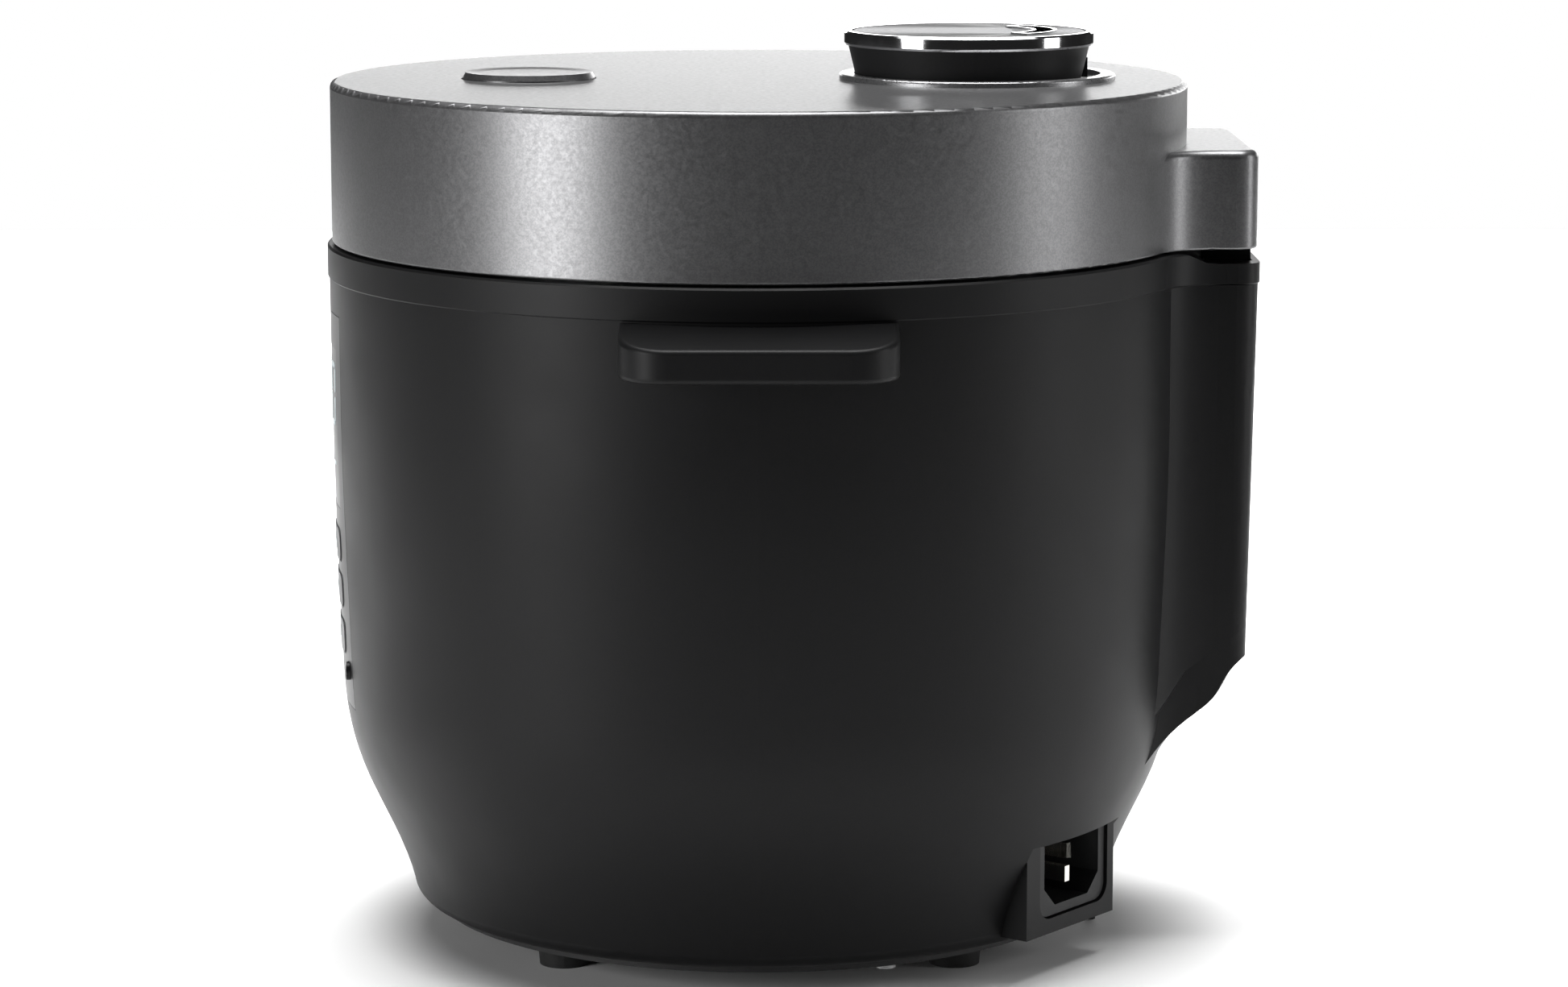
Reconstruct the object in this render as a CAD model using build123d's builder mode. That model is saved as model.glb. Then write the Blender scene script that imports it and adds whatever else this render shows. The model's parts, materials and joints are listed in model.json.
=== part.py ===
from build123d import *
import math
import os

# Electric pressure cooker, about 3 litres, with a hinged locking lid.
# Millimetres. Z is up and the floor is Z = 0. Each piece is drawn about the pot axis and then
# moved, so that the origin comes under the middle of the whole object.
# The control panel faces -Y and the lid hinge is at +Y.

os.makedirs("parts", exist_ok=True)

# ---- driving dimensions ----
lid_top = 221.0          # height of the lid's flat top
lid_radius = 110.0
lid_bottom = 180.3
body_top = 171.4         # seam between body and top ring
ring_top = 179.7
ring_radius = 111.3
body_radius = 110.8
wall = 3.0               # body shell wall
lid_wall = 2.5
body_floor = 9.0
ring_rear = 126.7        # rear face of the ring, under the hinge block
column_rear = 126.3
pot_radius = 86.0        # inside of the inner pot
pot_floor = 51.0         # underside of the inner pot
pot_wall = 1.2
gap = 0.3                # clearance between separate bodies
running = 0.05           # radial clearance of pins in their bores

hinge_y = 118.5
hinge_z = 189.0
pin_radius = 2.5
block_half = 35.0        # half-width of hinge block and column
blend_radius = 18.0      # concave blend of block and column into the round
block_rear = 125.8
block_top = 205.2
ear_x = 24.0
ear_wide = 6.0

knob_y = 54.0
knob_radius = 32.0
knob_top = 233.3
pinion_teeth = 14
ring_teeth = 68

button_y = -59.2
button_radius = 17.0
key_travel = 1.0

claw_count = 6
outer_pot_in = pot_radius + pot_wall + 1.0
outer_pot_out = outer_pot_in + 1.3
tooth_reach = 6.5
rear_reach = 4.9          # the rearmost tooth is shorter, so the lock ring clears it as the lid tilts
claw_tip = outer_pot_out + 3.7
lock_in = 97.0
lock_out = 98.6
carrier_in = 99.6
carrier_out = 101.5
lid_inside = lid_radius - lid_wall
inlet_angle = 52.3       # direction the power inlet faces, from +X
inlet_reach = 97.0
inlet_shift = 4.3        # sideways offset of the socket from that direction
inlet_z = 26.2
inlet_low = 11.2         # underside of the inlet housing
inlet_ceiling = 35.2
screw_circle = 81.5       # screws that hold the bottom cover

up = (Align.CENTER, Align.CENTER, Align.MIN)
home = Location((0, -(ring_rear - ring_radius) / 2, 0))  # puts the origin under the object's middle


def spun(points):
    """Solid of revolution about Z from a closed (radius, height) outline."""
    with BuildPart() as solid:
        with BuildSketch(Plane.XZ):
            with BuildLine():
                Polyline(*points, close=True)
            make_face()
        revolve(axis=Axis.Z)
    return solid.part


def tube(outer, inner, low, high, x=0.0, y=0.0):
    """Upright ring between two radii and two heights."""
    with BuildPart() as solid:
        with BuildSketch(Plane.XY.offset(low)):
            with Locations((x, y)):
                Circle(outer)
                if inner > 0:
                    Circle(inner, mode=Mode.SUBTRACT)
        extrude(amount=high - low)
    return solid.part


def block(x0, x1, y0, y1, z0, z1):
    """Box between two corners."""
    with BuildPart() as solid:
        with Locations(((x0 + x1) / 2, (y0 + y1) / 2, (z0 + z1) / 2)):
            Box(x1 - x0, y1 - y0, z1 - z0)
    return solid.part


def rod_x(radius, y, z, x0, x1):
    """Cylinder lying along X."""
    with BuildPart() as solid:
        with BuildSketch(Plane.YZ.offset(x0)):
            with Locations((y, z)):
                Circle(radius)
        extrude(amount=x1 - x0)
    return solid.part


def side_shape(points, half):
    """Outline in the Y-Z plane carried along X to both sides."""
    with BuildPart() as solid:
        with BuildSketch(Plane.YZ):
            with BuildLine():
                Polyline(*points, close=True)
            make_face()
        extrude(amount=half, both=True)
    return solid.part


def sector(outer, inner, low, high, start, end):
    """Arc-shaped piece between two radii, two heights and two angles."""
    mid = (start + end) / 2
    corner = [(radius * math.cos(math.radians(a)), radius * math.sin(math.radians(a)))
              for radius in (outer, inner) for a in (start, mid, end)]
    with BuildPart() as solid:
        with BuildSketch(Plane.XY.offset(low)):
            with BuildLine():
                ThreePointArc(corner[0], corner[1], corner[2])
                Line(corner[2], corner[5])
                ThreePointArc(corner[5], corner[4], corner[3])
                Line(corner[3], corner[0])
            make_face()
        extrude(amount=high - low)
    return solid.part


def rear_plan(radius, rear):
    """Plan outline of a round with the rear hinge block blended into it."""
    with BuildSketch() as outline:
        Circle(radius - 0.05)
        with Locations((0, rear / 2)):
            Rectangle(2 * block_half, rear)
        inner_corners = [v for v in outline.vertices() if 50 < v.Y < rear - 1 and abs(v.X) > block_half - 1]
        fillet(inner_corners, blend_radius)
        outer_corners = [v for v in outline.vertices() if v.Y > rear - 0.5]
        fillet(outer_corners, 6)
    return outline.sketch


def body_form(inset, top):
    """The body's outer form, drawn in by an inset, up to a given height."""
    with BuildPart() as solid:
        with BuildSketch(Plane.XZ):
            with BuildLine():
                Line((0, body_floor), (87.0 - inset, body_floor))
                ThreePointArc((87.0 - inset, body_floor), (89.7 - inset, 9.9), (91.0 - inset, 12.5))
                Spline((91.0 - inset, 12.5), (92.6 - inset, 18), (98.1 - inset, 31),
                       (104.0 - inset, 44), (107.6 - inset, 57), (109.0 - inset, 76),
                       (110.5 - inset, 127), (body_radius - inset, 171.4))
                Line((body_radius - inset, 171.4), (0, 171.4))
                Line((0, 171.4), (0, body_floor))
            make_face()
        revolve(axis=Axis.Z)
        if top < 171.4:
            with Locations((0, 0, top)):
                Cylinder(130, 200, align=up, mode=Mode.SUBTRACT)
    return solid.part


def panel_layer(near, far):
    """Curved layer of the front panel between two insets."""
    return body_form(near, 171.4) - body_form(far, 171.4)


# ---- body shell ----
def column_limit(inset):
    """Round form whose S-curve carries the column's underside into the bowl."""
    with BuildPart() as solid:
        with BuildSketch(Plane.XZ):
            with BuildLine():
                Line((0, 38 + inset), (100 - inset, 38 + inset))
                Spline((100 - inset, 38 + inset), (105.6 - inset, 48.5 + inset), (108.7 - inset, 53.4 + inset),
                       (112.9 - inset, 57.9 + inset), (117.4 - inset, 61.6 + inset), (121.2 - inset, 65.4 + inset),
                       (123.6 - inset, 70 + inset), (127.2 - inset, 74.6 + inset), (140 - inset, 80 + inset))
                Line((140 - inset, 80 + inset), (140 - inset, body_top + 2))
                Line((140 - inset, body_top + 2), (0, body_top + 2))
                Line((0, body_top + 2), (0, 38 + inset))
            make_face()
        revolve(axis=Axis.Z)
    return solid.part


def column_prism(radius):
    """Tapered upright column whose sides blend into a round of the given radius."""
    return extrude(rear_plan(radius, column_rear).moved(Location((0, 0, body_top))), -134, taper=1.0)


blend_limit = spun([(95, 58), (106.2, 58), (114, 72), (140, 92), (140, body_top + 2), (95, body_top + 2)])
column_core = column_prism(body_radius - 5) & column_limit(0)
column = (column_prism(body_radius - 1.4) & blend_limit) + column_core
column = column - tube(100, 0, 0, 200)
column_inside = [(60, body_top + 1), (column_rear - wall, body_top + 1), (column_rear - wall - 1.6, 62), (60, 62)]
column_hollow = side_shape(column_inside, block_half - wall) & column_limit(wall)
outer_form = body_form(0, 171.4)
inner_form = body_form(wall, 171.4) & tube(120, 0, body_floor + 2.5, body_top + 5)
panel_pocket = panel_layer(-5, 1.6) & block(-32, 32, -130, -60, 61.5, 163)
panel_window = block(-30, 30, -130, -90, 63.5, 161)


def inlet_frame(solid):
    """Turn a piece drawn facing +X to face the way the inlet does."""
    return solid.rotate(Axis.Z, inlet_angle)


housing_near = 16.7      # housing's two sides, measured from the inlet direction
housing_far = 22.3
inlet_body = inlet_frame(block(66, inlet_reach, -housing_near, housing_far, inlet_low, inlet_ceiling + 2.4))
notch_points = [(inlet_reach, -housing_near), (112, -housing_near), (112, housing_far + 9),
                (inlet_reach, housing_far + 4)]


def upright(points, low, high):
    """Outline in the floor plane carried up between two heights."""
    with BuildPart() as solid:
        with BuildSketch(Plane.XY.offset(low)):
            with BuildLine():
                Polyline(*points, close=True)
            make_face()
        extrude(amount=high - low)
    return solid.part


def rounded_slab(x0, x1, half, low, high, corner):
    """Slab centred on the socket, with its two lower corners rounded."""
    slab = block(x0, x1, inlet_shift - half, inlet_shift + half, low, high)
    lower = slab.edges().filter_by(Axis.X).sort_by(Axis.Z)[:2]
    return fillet(lower, corner)


inlet_notch = inlet_frame(upright(notch_points, 0, inlet_ceiling))
flange_low = 15.4
recess_form = rounded_slab(inlet_reach - 3.2, 112, 15.2, flange_low - 0.4, inlet_ceiling, 4.6)
inlet_recess = inlet_frame(recess_form)
socket_hole = inlet_frame(block(60, 112, inlet_shift - 13.6, inlet_shift + 13.6, 16.4, 35.0))

with BuildPart() as body_shell:
    add(outer_form)
    add(column)
    add(inner_form, mode=Mode.SUBTRACT)
    add(column_hollow, mode=Mode.SUBTRACT)
    with Locations((0, 0, 0)):
        Cylinder(80, 20, align=up, mode=Mode.SUBTRACT)
    add(inlet_body)
    add(inlet_notch, mode=Mode.SUBTRACT)
    add(inlet_recess, mode=Mode.SUBTRACT)
    add(socket_hole, mode=Mode.SUBTRACT)
    with PolarLocations(screw_circle, 4, start_angle=22.5):
        with Locations((0, 0, body_floor)):
            Cylinder(3.5, 14, align=up)
    with PolarLocations(screw_circle, 4, start_angle=22.5):
        with Locations((0, 0, body_floor)):
            Cylinder(1.5, 10, align=up, mode=Mode.SUBTRACT)
    add(panel_pocket, mode=Mode.SUBTRACT)
    add(panel_window, mode=Mode.SUBTRACT)
    with Locations((8.7, 87.2, gap)):
        Cylinder(1.3, 10.5, align=up)
body_shell.part.label = "body_shell"
body_shell.part.move(home)
export_step(body_shell.part, "parts/body_shell.step")

# ---- top ring ----
ear_slots = [block(side * ear_x - 3.3, side * ear_x + 3.3, 111.9, 125.0, 160, 190) for side in (-1, 1)]
ring_dip = side_shape([(105.5, ring_top + 1), (105.5, ring_top), (107.5, ring_top - 0.3), (110, ring_top - 1.4),
                       (112.5, ring_top - 2.6), (115, ring_top - 2.9), (140, ring_top - 2.9),
                       (140, ring_top + 1)], 60)
latch_pocket = block(-8, 8, -108.9, -101.7, 174, ring_top + 1)
latch_undercut = block(-8, 8, -102, -100.9, 174, 178.3)
ring_body = extrude(rear_plan(ring_radius, ring_rear).moved(Location((0, 0, body_top))), ring_top - body_top)
ring_body = chamfer(ring_body.faces().sort_by(Axis.Z)[-1].edges(), 0.5)
ring_body = chamfer(ring_body.faces().sort_by(Axis.Z)[0].edges(), 0.35)
ring_bore = spun([(0, body_top - 1), (90.0, body_top - 1), (90.0, 174), (carrier_in, 174),
                  (carrier_in, ring_top + 1), (0, ring_top + 1)])

with BuildPart() as top_ring:
    add(ring_body)
    add(ring_dip, mode=Mode.SUBTRACT)
    add(ring_bore, mode=Mode.SUBTRACT)
    add(latch_pocket, mode=Mode.SUBTRACT)
    add(latch_undercut, mode=Mode.SUBTRACT)
    for slot in ear_slots:
        add(slot, mode=Mode.SUBTRACT)
top_ring.part.label = "top_ring"
top_ring.part.move(home)
export_step(top_ring.part, "parts/top_ring.step")

# ---- bottom cover, feet and screws ----
cover_low = body_floor - 2.0
foot_spots = [(x * 50.0, y * 49.5) for x in (-1, 1) for y in (-1, 1)]
board_posts = [(-56, -31), (-56, 11), (16, -31), (16, 11)]

with BuildPart() as bottom_cover:
    with Locations((0, 0, cover_low)):
        Cylinder(85.5, 2.0, align=up)
    with Locations(*[(x, y, body_floor) for x, y in board_posts]):
        Cylinder(3, 8, align=up)
    with Locations(*[(x, 0, cover_low) for x in range(-30, 31, 10)]):
        Box(4, 44, 2.0, align=up, mode=Mode.SUBTRACT)
    with PolarLocations(screw_circle, 4, start_angle=22.5):
        with Locations((0, 0, cover_low)):
            Cylinder(1.5, 4, align=up, mode=Mode.SUBTRACT)
bottom_cover.part.label = "bottom_cover"
bottom_cover.part.move(home)
export_step(bottom_cover.part, "parts/bottom_cover.step")

with BuildPart() as feet:
    with Locations(*[(x, y, cover_low) for x, y in foot_spots]):
        Cone(7.0, 6.4, cover_low, align=(Align.CENTER, Align.CENTER, Align.MIN), rotation=(180, 0, 0))
feet.part.label = "feet"
feet.part.move(home)
export_step(feet.part, "parts/feet.step")

# ---- side handles ----
def handle(side):
    """Rounded ledge at one side of the body."""
    with BuildPart() as ledge:
        with BuildSketch(Plane.XZ):
            with BuildLine():
                Polyline((104, body_top - 0.3), (109, body_top - 0.5), (129.5, body_top - 4.0),
                         (129.5, body_top - 12.0), (109, body_top - 12.3), (104, body_top - 12.3), close=True)
            make_face()
        extrude(amount=33, both=True)
        fillet(ledge.edges().filter_by(Axis.Z).sort_by(Axis.X)[-2:], 12)
        fillet(ledge.edges().filter_by(lambda e: e.center().X > 110), 1.3)
        add(body_form(0, 171.4), mode=Mode.SUBTRACT)
    return ledge.part if side > 0 else ledge.part.mirror(Plane.YZ)


right_ledge = handle(1)
left_ledge = handle(-1)

with BuildPart() as side_handle_right:
    add(right_ledge)
side_handle_right.part.label = "side_handle_right"
side_handle_right.part.move(home)
export_step(side_handle_right.part, "parts/side_handle_right.step")

with BuildPart() as side_handle_left:
    add(left_ledge)
side_handle_left.part.label = "side_handle_left"
side_handle_left.part.move(home)
export_step(side_handle_left.part, "parts/side_handle_left.step")

# ---- pots ----
outer_rim = 184.5
pitch = 360 / claw_count
outer_pot_form = spun([(14, 38), (outer_pot_out, 38), (outer_pot_out, 174), (93, 174), (93, 175.2),
                       (outer_pot_out, 175.2), (outer_pot_out, outer_rim), (outer_pot_in, outer_rim),
                       (outer_pot_in, 39.3), (14, 39.3)])
flange_teeth = [sector(outer_pot_out + (rear_reach if i == 1 else tooth_reach), outer_pot_out - 0.4, 181.3, 183.8,
                       pitch * i + 11.5, pitch * (i + 1) - 11.5) for i in range(claw_count)]

with BuildPart() as outer_pot:
    add(outer_pot_form)
    for tooth in flange_teeth:
        add(tooth)
outer_pot.part.label = "outer_pot"
outer_pot.part.move(home)
export_step(outer_pot.part, "parts/outer_pot.step")

pot_out = pot_radius + pot_wall
pot_lip = outer_pot_out + 0.4
with BuildPart() as inner_pot:
    with BuildSketch(Plane.XZ):
        with BuildLine():
            Line((0, pot_floor), (pot_out - 8, pot_floor))
            ThreePointArc((pot_out - 8, pot_floor), (pot_out - 2.34, pot_floor + 2.34), (pot_out, pot_floor + 8))
            Line((pot_out, pot_floor + 8), (pot_out, outer_rim))
            Line((pot_out, outer_rim), (pot_lip, outer_rim))
            Line((pot_lip, outer_rim), (pot_lip, outer_rim + 1.2))
            Line((pot_lip, outer_rim + 1.2), (pot_radius, outer_rim + 1.2))
            Line((pot_radius, outer_rim + 1.2), (pot_radius, pot_floor + 8))
            ThreePointArc((pot_radius, pot_floor + 8), (pot_radius - 2.0, pot_floor + 3.2),
                          (pot_radius - 6.8, pot_floor + pot_wall))
            Line((pot_radius - 6.8, pot_floor + pot_wall), (0, pot_floor + pot_wall))
            Line((0, pot_floor + pot_wall), (0, pot_floor))
        make_face()
    revolve(axis=Axis.Z)
inner_pot.part.label = "inner_pot"
inner_pot.part.move(home)
export_step(inner_pot.part, "parts/inner_pot.step")

# ---- heater and sensors ----
with BuildPart() as heater_plate:
    with Locations((0, 0, 43)):
        Cylinder(78, pot_floor - 43 - gap, align=up)
    with PolarLocations(60, 3):
        with Locations((0, 0, 39.3)):
            Cylinder(5, 4, align=up)
    with Locations((0, 0, 30)):
        Cylinder(14, 30, align=up, mode=Mode.SUBTRACT)
heater_plate.part.label = "heater_plate"
heater_plate.part.move(home)
export_step(heater_plate.part, "parts/heater_plate.step")

with BuildPart() as sensor_bracket:
    with Locations((0, 0, 35.5)):
        Cylinder(18, 2.5, align=up)
    with Locations((0, 0, 30)):
        Cylinder(8, 6, align=up)
        Cylinder(5 + running, 10, align=up, mode=Mode.SUBTRACT)
sensor_bracket.part.label = "sensor_bracket"
sensor_bracket.part.move(home)
export_step(sensor_bracket.part, "parts/sensor_bracket.step")

with BuildPart() as temp_sensor:
    with Locations((0, 0, 46)):
        Cylinder(12, pot_floor - 0.02 - 46, align=up)
    with Locations((0, 0, 28)):
        Cylinder(5, 18.5, align=up)
temp_sensor.part.label = "temp_sensor"
temp_sensor.part.move(home)
export_step(temp_sensor.part, "parts/temp_sensor.step")


def coil(radius, wire, low, high, turns, x=0.0, y=0.0):
    """Compression spring standing between two heights."""
    path = Helix((high - low - 2 * wire) / turns, high - low - 2 * wire, radius)
    start = Plane(origin=path @ 0, z_dir=path % 0)
    return Pos(x, y, low + wire) * sweep(start * Circle(wire), path=path)


sensor_coil = coil(8.0, 0.6, 38, 46, 3)
with BuildPart() as sensor_spring:
    add(sensor_coil)
sensor_spring.part.label = "sensor_spring"
sensor_spring.part.move(home)
export_step(sensor_spring.part, "parts/sensor_spring.step")

with BuildPart() as pressure_switch:
    with Locations((0, -45, 30)):
        Cylinder(12, 8, align=up)
    with Locations((0, -45, 25)):
        Box(12, 3, 5.5, align=up)
pressure_switch.part.label = "pressure_switch"
pressure_switch.part.move(home)
export_step(pressure_switch.part, "parts/pressure_switch.step")

with BuildPart() as thermal_fuse:
    with Locations((42, 0, 33)):
        Box(6, 24, 5, align=up)
    with Locations((42, 0, 35.0)):
        Cylinder(2, 34, rotation=(90, 0, 0))
thermal_fuse.part.label = "thermal_fuse"
thermal_fuse.part.move(home)
export_step(thermal_fuse.part, "parts/thermal_fuse.step")

with BuildPart() as power_board:
    with Locations((-20, -10, 17)):
        Box(80, 50, 1.6, align=up)
    with Locations((-44, -20, 18.6)):
        Box(18, 15, 10, align=up)
    with Locations((-20, -18, 18.6)):
        Box(20, 20, 9, align=up)
    with Locations((6, -22, 18.6), (-32, 4, 18.6)):
        Cylinder(5, 9, align=up)
power_board.part.label = "power_board"
power_board.part.move(home)
export_step(power_board.part, "parts/power_board.step")

# ---- front panel ----
key_spots = [(x, z) for z in (103, 91, 79) for x in (-14, 14)]
lens_low = 113.0
lens_high = 154.0
panel_front = panel_layer(0, 1.6) & block(-31.8, 31.8, -130, -60, 61.7, 162.8)
panel_back = panel_layer(1.55, wall) & block(-29.7, 29.7, -130, -60, 63.8, 160.7)


def key_outline(grow, near, far, x, z):
    """Rounded key-shaped piece of the panel's curve between two insets."""
    key = block(x - 10 - grow, x + 10 + grow, -118, -95, z - 4.2 - grow, z + 4.2 + grow)
    key = fillet(key.edges().filter_by(Axis.Y), 2.5)
    return key & panel_layer(near, far)


key_openings = [key_outline(gap, -5, 8, x, z) for x, z in key_spots]

with BuildPart() as panel_frame:
    add(panel_front)
    add(panel_back)
    for opening in key_openings:
        add(opening, mode=Mode.SUBTRACT)
    with Locations((0, -112, (lens_low + lens_high) / 2)):
        Box(52, 24, lens_high - lens_low, mode=Mode.SUBTRACT)
    with Locations(*[(x, -98.5, z) for x in (-27, 27) for z in (71, 158)]):
        Cylinder(2.4, 7.5, rotation=(90, 0, 0), align=up)
panel_frame.part.label = "panel_frame"
panel_frame.part.move(home)
export_step(panel_frame.part, "parts/panel_frame.step")

lens_form = panel_layer(0.1, wall - 0.2) & block(-26, 26, -130, -60, lens_low, lens_high)
with BuildPart() as panel_lens:
    add(lens_form)
panel_lens.part.label = "panel_lens"
panel_lens.part.move(home)
export_step(panel_lens.part, "parts/panel_lens.step")

with BuildPart() as display_module:
    add(block(-20, 20, -105.0, -98.5, lens_low + 5, lens_high - 5))
display_module.part.label = "display_module"
display_module.part.move(home)
export_step(display_module.part, "parts/display_module.step")

with BuildPart() as control_board:
    add(block(-30, 30, -98.5, -96.9, 67, 161))
    for x, z in key_spots:
        add(block(x - 3, x + 3, -101.3, -98.5, z - 3, z + 3))
    with Locations((0, -98.5, 82.5)):
        Cylinder(4, 2.5, rotation=(90, 0, 0), align=up)
control_board.part.label = "control_board"
control_board.part.move(home)
export_step(control_board.part, "parts/control_board.step")

for index, (x, z) in enumerate(key_spots):
    cap = key_outline(0, -0.3, 5.0, x, z)
    flange = key_outline(1.4, wall + gap, 5.0, x, z)
    stem = block(x - 2, x + 2, -106, -101.3 - key_travel - gap, z - 2, z + 2)
    with BuildPart() as key:
        add(cap)
        add(flange)
        add(stem)
    key.part.label = f"key_{index + 1}"
    key.part.move(home)
    export_step(key.part, f"parts/key_{index + 1}.step")

# ---- power inlet ----
socket_face = inlet_reach - 0.8
socket_flange = rounded_slab(inlet_reach - 3.2, socket_face, 14.8, flange_low, inlet_ceiling - 0.1, 4.2)
socket_body = block(inlet_reach - 22, inlet_reach - 3.2, inlet_shift - 13.6, inlet_shift + 13.6, 16.4, 35.0)


def inlet_opening(depth):
    """The inlet's six-sided opening, with its two chamfered corners below."""
    half = 12.15
    tall = 8.4
    cut = 4.8
    with BuildPart() as solid:
        with BuildSketch(Plane.YZ.offset(socket_face - depth)):
            with Locations((inlet_shift, inlet_z)):
                Polygon((-half, tall), (half, tall), (half, cut - tall), (half - cut, -tall),
                        (cut - half, -tall), (-half, cut - tall), align=None)
        extrude(amount=depth + 1)
    return solid.part


pin_low = inlet_reach - 21
inlet_blades = [block(pin_low, inlet_reach - 6.3, inlet_shift + s * 7 - 1, inlet_shift + s * 7 + 1,
                      inlet_z, inlet_z + 4.0) for s in (-1, 1)]
inlet_blades.append(block(pin_low, inlet_reach - 2.1, inlet_shift - 1, inlet_shift + 1,
                          inlet_z - 4.0, inlet_z))
socket_form = inlet_frame((socket_flange + socket_body) - inlet_opening(16.5))
turned_blades = [inlet_frame(blade) for blade in inlet_blades]

with BuildPart() as inlet_socket:
    add(socket_form)
    for blade in turned_blades:
        add(blade, mode=Mode.SUBTRACT)
inlet_socket.part.label = "inlet_socket"
inlet_socket.part.move(home)
export_step(inlet_socket.part, "parts/inlet_socket.step")

with BuildPart() as inlet_pins:
    for blade in turned_blades:
        add(blade)
inlet_pins.part.label = "inlet_pins"
inlet_pins.part.move(home)
export_step(inlet_pins.part, "parts/inlet_pins.step")

# ---- hinge ----
ear_form = side_shape([(-6, body_top - hinge_z), (6, body_top - hinge_z), (6, 0), (5.2, 3.0), (3.0, 5.2), (0, 6), (-3.0, 5.2),
                       (-5.2, 3.0), (-6, 0)], ear_wide / 2)
pin_hole = rod_x(pin_radius, hinge_y, hinge_z, -40, 40)

with BuildPart() as hinge_bracket:
    add(block(-30, 30, hinge_y - 6, hinge_y + 4.4, body_top - 3, body_top))
    for side in (-1, 1):
        with Locations((side * ear_x, hinge_y, hinge_z)):
            add(ear_form)
    add(pin_hole, mode=Mode.SUBTRACT)
hinge_bracket.part.label = "hinge_bracket"
hinge_bracket.part.move(home)
export_step(hinge_bracket.part, "parts/hinge_bracket.step")

with BuildPart() as hinge_pin:
    add(rod_x(pin_radius, hinge_y, hinge_z, -30, 30))
hinge_pin.part.label = "hinge_pin"
hinge_pin.part.move(home)
export_step(hinge_pin.part, "parts/hinge_pin.step")

with BuildPart() as base_screws:
    with PolarLocations(screw_circle, 4, start_angle=22.5):
        with Locations((0, 0, cover_low - 1.2)):
            Cylinder(2.8, 1.2, align=up)
            Cylinder(1.5, 10, align=up)
base_screws.part.label = "base_screws"
base_screws.part.move(home)
export_step(base_screws.part, "parts/base_screws.step")

# ---- lid cover ----
lid_form = tube(lid_radius, 0, lid_bottom, lid_top)
lid_form = fillet(lid_form.faces().sort_by(Axis.Z)[-1].edges(), 1.5)
lid_form = fillet(lid_form.faces().sort_by(Axis.Z)[0].edges(), 0.6)
hinge_block = extrude(rear_plan(lid_radius, block_rear).moved(Location((0, 0, lid_bottom))), block_top - lid_bottom)
hinge_block = fillet(hinge_block.faces().sort_by(Axis.Z)[-1].edges(), 2.0)
hinge_block = fillet(hinge_block.faces().sort_by(Axis.Z)[0].edges(), 0.6)
lid_hollow = tube(lid_inside, 0, lid_bottom - 1, lid_top - lid_wall)
ear_pocket = 6.8
screw_spots = [(x * 66.0, y * 66.0) for x in (-1, 1) for y in (-1, 1)]
plate_low = 199.0
plate_high = 201.5

with BuildPart() as lid_cover:
    add(lid_form)
    add(hinge_block)
    add(lid_hollow, mode=Mode.SUBTRACT)
    for side in (-1, 1):
        add(block(side * ear_x - 3.5, side * ear_x + 3.5, hinge_y - ear_pocket, 130, 170, hinge_z + ear_pocket),
            mode=Mode.SUBTRACT)
    add(rod_x(pin_radius + running, hinge_y, hinge_z, -30.5, 30.5), mode=Mode.SUBTRACT)
    with Locations(*[(x, y, plate_high) for x, y in screw_spots]):
        Cylinder(4.5, lid_top - lid_wall - plate_high, align=up)
        Cylinder(1.6, 12, align=up, mode=Mode.SUBTRACT)
    with Locations((0, knob_y, 210)):
        Cylinder(12, 20, align=up, mode=Mode.SUBTRACT)
    with Locations((0, button_y, 210)):
        Cylinder(button_radius + 0.4, 20, align=up, mode=Mode.SUBTRACT)
lid_cover.part.label = "lid_cover"
lid_cover.part.move(home)
export_step(lid_cover.part, "parts/lid_cover.step")

# ---- lid carrier ----
carrier_form = spun([(0, 184.1), (9, 184.1), (9, plate_low), (carrier_in, plate_low), (carrier_in, 181),
                     (lid_inside - 0.3, 181), (lid_inside - 0.3, 182.6), (carrier_out, 182.6),
                     (carrier_out, plate_high), (0, plate_high)])
latch_y = -97.0
latch_z = 205.1

with BuildPart() as lid_carrier:
    add(carrier_form)
    with Locations((0, knob_y, 190)):
        Cylinder(11 + running, 20, align=up, mode=Mode.SUBTRACT)
    with Locations((0, 0, 180)):
        Cylinder(3.0, 12, align=up, mode=Mode.SUBTRACT)
    with Locations(*[(x, y, 190) for x, y in screw_spots]):
        Cylinder(1.9, 20, align=up, mode=Mode.SUBTRACT)
    with PolarLocations(80, 3, start_angle=30):
        with Locations((0, 0, 190)):
            Cylinder(2.4, 20, align=up, mode=Mode.SUBTRACT)
    add(block(-7, 7, -108, -101.5, 178, 184), mode=Mode.SUBTRACT)
    for side in (-1, 1):
        add(block(side * 8 - 1.5, side * 8 + 1.5, latch_y - 3.5, latch_y + 3.5, plate_high, latch_z + 3.5))
    add(rod_x(1.5, latch_y, latch_z, -12, 12), mode=Mode.SUBTRACT)
lid_carrier.part.label = "lid_carrier"
lid_carrier.part.move(home)
export_step(lid_carrier.part, "parts/lid_carrier.step")

with BuildPart() as lid_screws:
    with Locations(*[(x, y, plate_low) for x, y in screw_spots]):
        Cylinder(1.6, 10, align=up)
        Cylinder(3.6, 2.0, align=(Align.CENTER, Align.CENTER, Align.MAX))
lid_screws.part.label = "lid_screws"
lid_screws.part.move(home)
export_step(lid_screws.part, "parts/lid_screws.step")

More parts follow.
